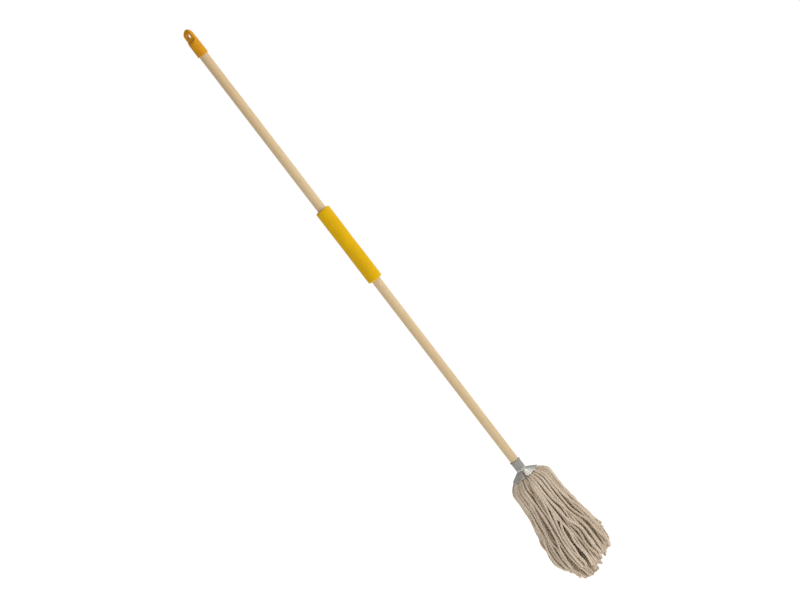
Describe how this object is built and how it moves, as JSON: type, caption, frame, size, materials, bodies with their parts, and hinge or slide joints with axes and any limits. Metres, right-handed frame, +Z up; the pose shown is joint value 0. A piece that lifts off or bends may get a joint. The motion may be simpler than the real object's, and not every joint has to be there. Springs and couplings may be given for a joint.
{
  "type": "string mop",
  "caption": "Round cotton string mop: wooden handle with a foam grip and a holed hanging cap, pressed steel socket, and bundles of yarn that splay outwards.",
  "frame": {"origin": "centre of the hanging hole in the cap", "axes": "+Z up along the handle, away from the yarn; +Y along the hanging hole"},
  "size_m": [0.1582, 0.1582, 1.713],
  "materials": {
    "pine_wood": "plain turned wood, lightly sanded",
    "yellow_plastic": "satin moulded plastic",
    "yellow_foam": "matt closed-cell foam",
    "galvanised_steel": "galvanised",
    "zinc_screw": "zinc plated",
    "plate_steel": "galvanised",
    "cotton_crown": "unbleached cotton yarn",
    "cotton_core": "unbleached cotton yarn",
    "cotton_yarn": "unbleached cotton yarn"
  },
  "bodies": {
    "mop_frame": {"handle": "pine_wood", "hanger_cap": "yellow_plastic", "grip_sleeve": "yellow_foam", "socket": "galvanised_steel", "socket_screw": "zinc_screw", "clamp_plate": "plate_steel", "yarn_crown": "cotton_crown", "yarn_core": "cotton_core"},
    "tuft_01": {"yarn_tuft_01": "cotton_yarn"},
    "tuft_02": {"yarn_tuft_02": "cotton_yarn"},
    "tuft_03": {"yarn_tuft_03": "cotton_yarn"},
    "tuft_04": {"yarn_tuft_04": "cotton_yarn"},
    "tuft_05": {"yarn_tuft_05": "cotton_yarn"},
    "tuft_06": {"yarn_tuft_06": "cotton_yarn"},
    "tuft_07": {"yarn_tuft_07": "cotton_yarn"},
    "tuft_08": {"yarn_tuft_08": "cotton_yarn"},
    "tuft_09": {"yarn_tuft_09": "cotton_yarn"},
    "tuft_10": {"yarn_tuft_10": "cotton_yarn"},
    "tuft_11": {"yarn_tuft_11": "cotton_yarn"},
    "tuft_12": {"yarn_tuft_12": "cotton_yarn"}
  },
  "joints": [
    {"name": "tuft_01_bend", "type": "hinge", "parent": "mop_frame", "child": "tuft_01", "pos_m": [0.0445, 0, -1.425], "axis": [0, -1, 0], "range_deg": [0, 70]},
    {"name": "tuft_02_bend", "type": "hinge", "parent": "mop_frame", "child": "tuft_02", "pos_m": [0.03854, 0.02225, -1.425], "axis": [0.5, -0.866, 0], "range_deg": [0, 70]},
    {"name": "tuft_03_bend", "type": "hinge", "parent": "mop_frame", "child": "tuft_03", "pos_m": [0.02225, 0.03854, -1.425], "axis": [0.866, -0.5, 0], "range_deg": [0, 70]},
    {"name": "tuft_04_bend", "type": "hinge", "parent": "mop_frame", "child": "tuft_04", "pos_m": [0, 0.0445, -1.425], "axis": [1, 0, 0], "range_deg": [0, 70]},
    {"name": "tuft_05_bend", "type": "hinge", "parent": "mop_frame", "child": "tuft_05", "pos_m": [-0.02225, 0.03854, -1.425], "axis": [0.866, 0.5, 0], "range_deg": [0, 70]},
    {"name": "tuft_06_bend", "type": "hinge", "parent": "mop_frame", "child": "tuft_06", "pos_m": [-0.03854, 0.02225, -1.425], "axis": [0.5, 0.866, 0], "range_deg": [0, 70]},
    {"name": "tuft_07_bend", "type": "hinge", "parent": "mop_frame", "child": "tuft_07", "pos_m": [-0.0445, 0, -1.425], "axis": [0, 1, 0], "range_deg": [0, 70]},
    {"name": "tuft_08_bend", "type": "hinge", "parent": "mop_frame", "child": "tuft_08", "pos_m": [-0.03854, -0.02225, -1.425], "axis": [-0.5, 0.866, 0], "range_deg": [0, 70]},
    {"name": "tuft_09_bend", "type": "hinge", "parent": "mop_frame", "child": "tuft_09", "pos_m": [-0.02225, -0.03854, -1.425], "axis": [-0.866, 0.5, 0], "range_deg": [0, 70]},
    {"name": "tuft_10_bend", "type": "hinge", "parent": "mop_frame", "child": "tuft_10", "pos_m": [0, -0.0445, -1.425], "axis": [-1, 0, 0], "range_deg": [0, 70]},
    {"name": "tuft_11_bend", "type": "hinge", "parent": "mop_frame", "child": "tuft_11", "pos_m": [0.02225, -0.03854, -1.425], "axis": [-0.866, -0.5, 0], "range_deg": [0, 70]},
    {"name": "tuft_12_bend", "type": "hinge", "parent": "mop_frame", "child": "tuft_12", "pos_m": [0.03854, -0.02225, -1.425], "axis": [-0.5, -0.866, 0], "range_deg": [0, 70]}
  ]
}
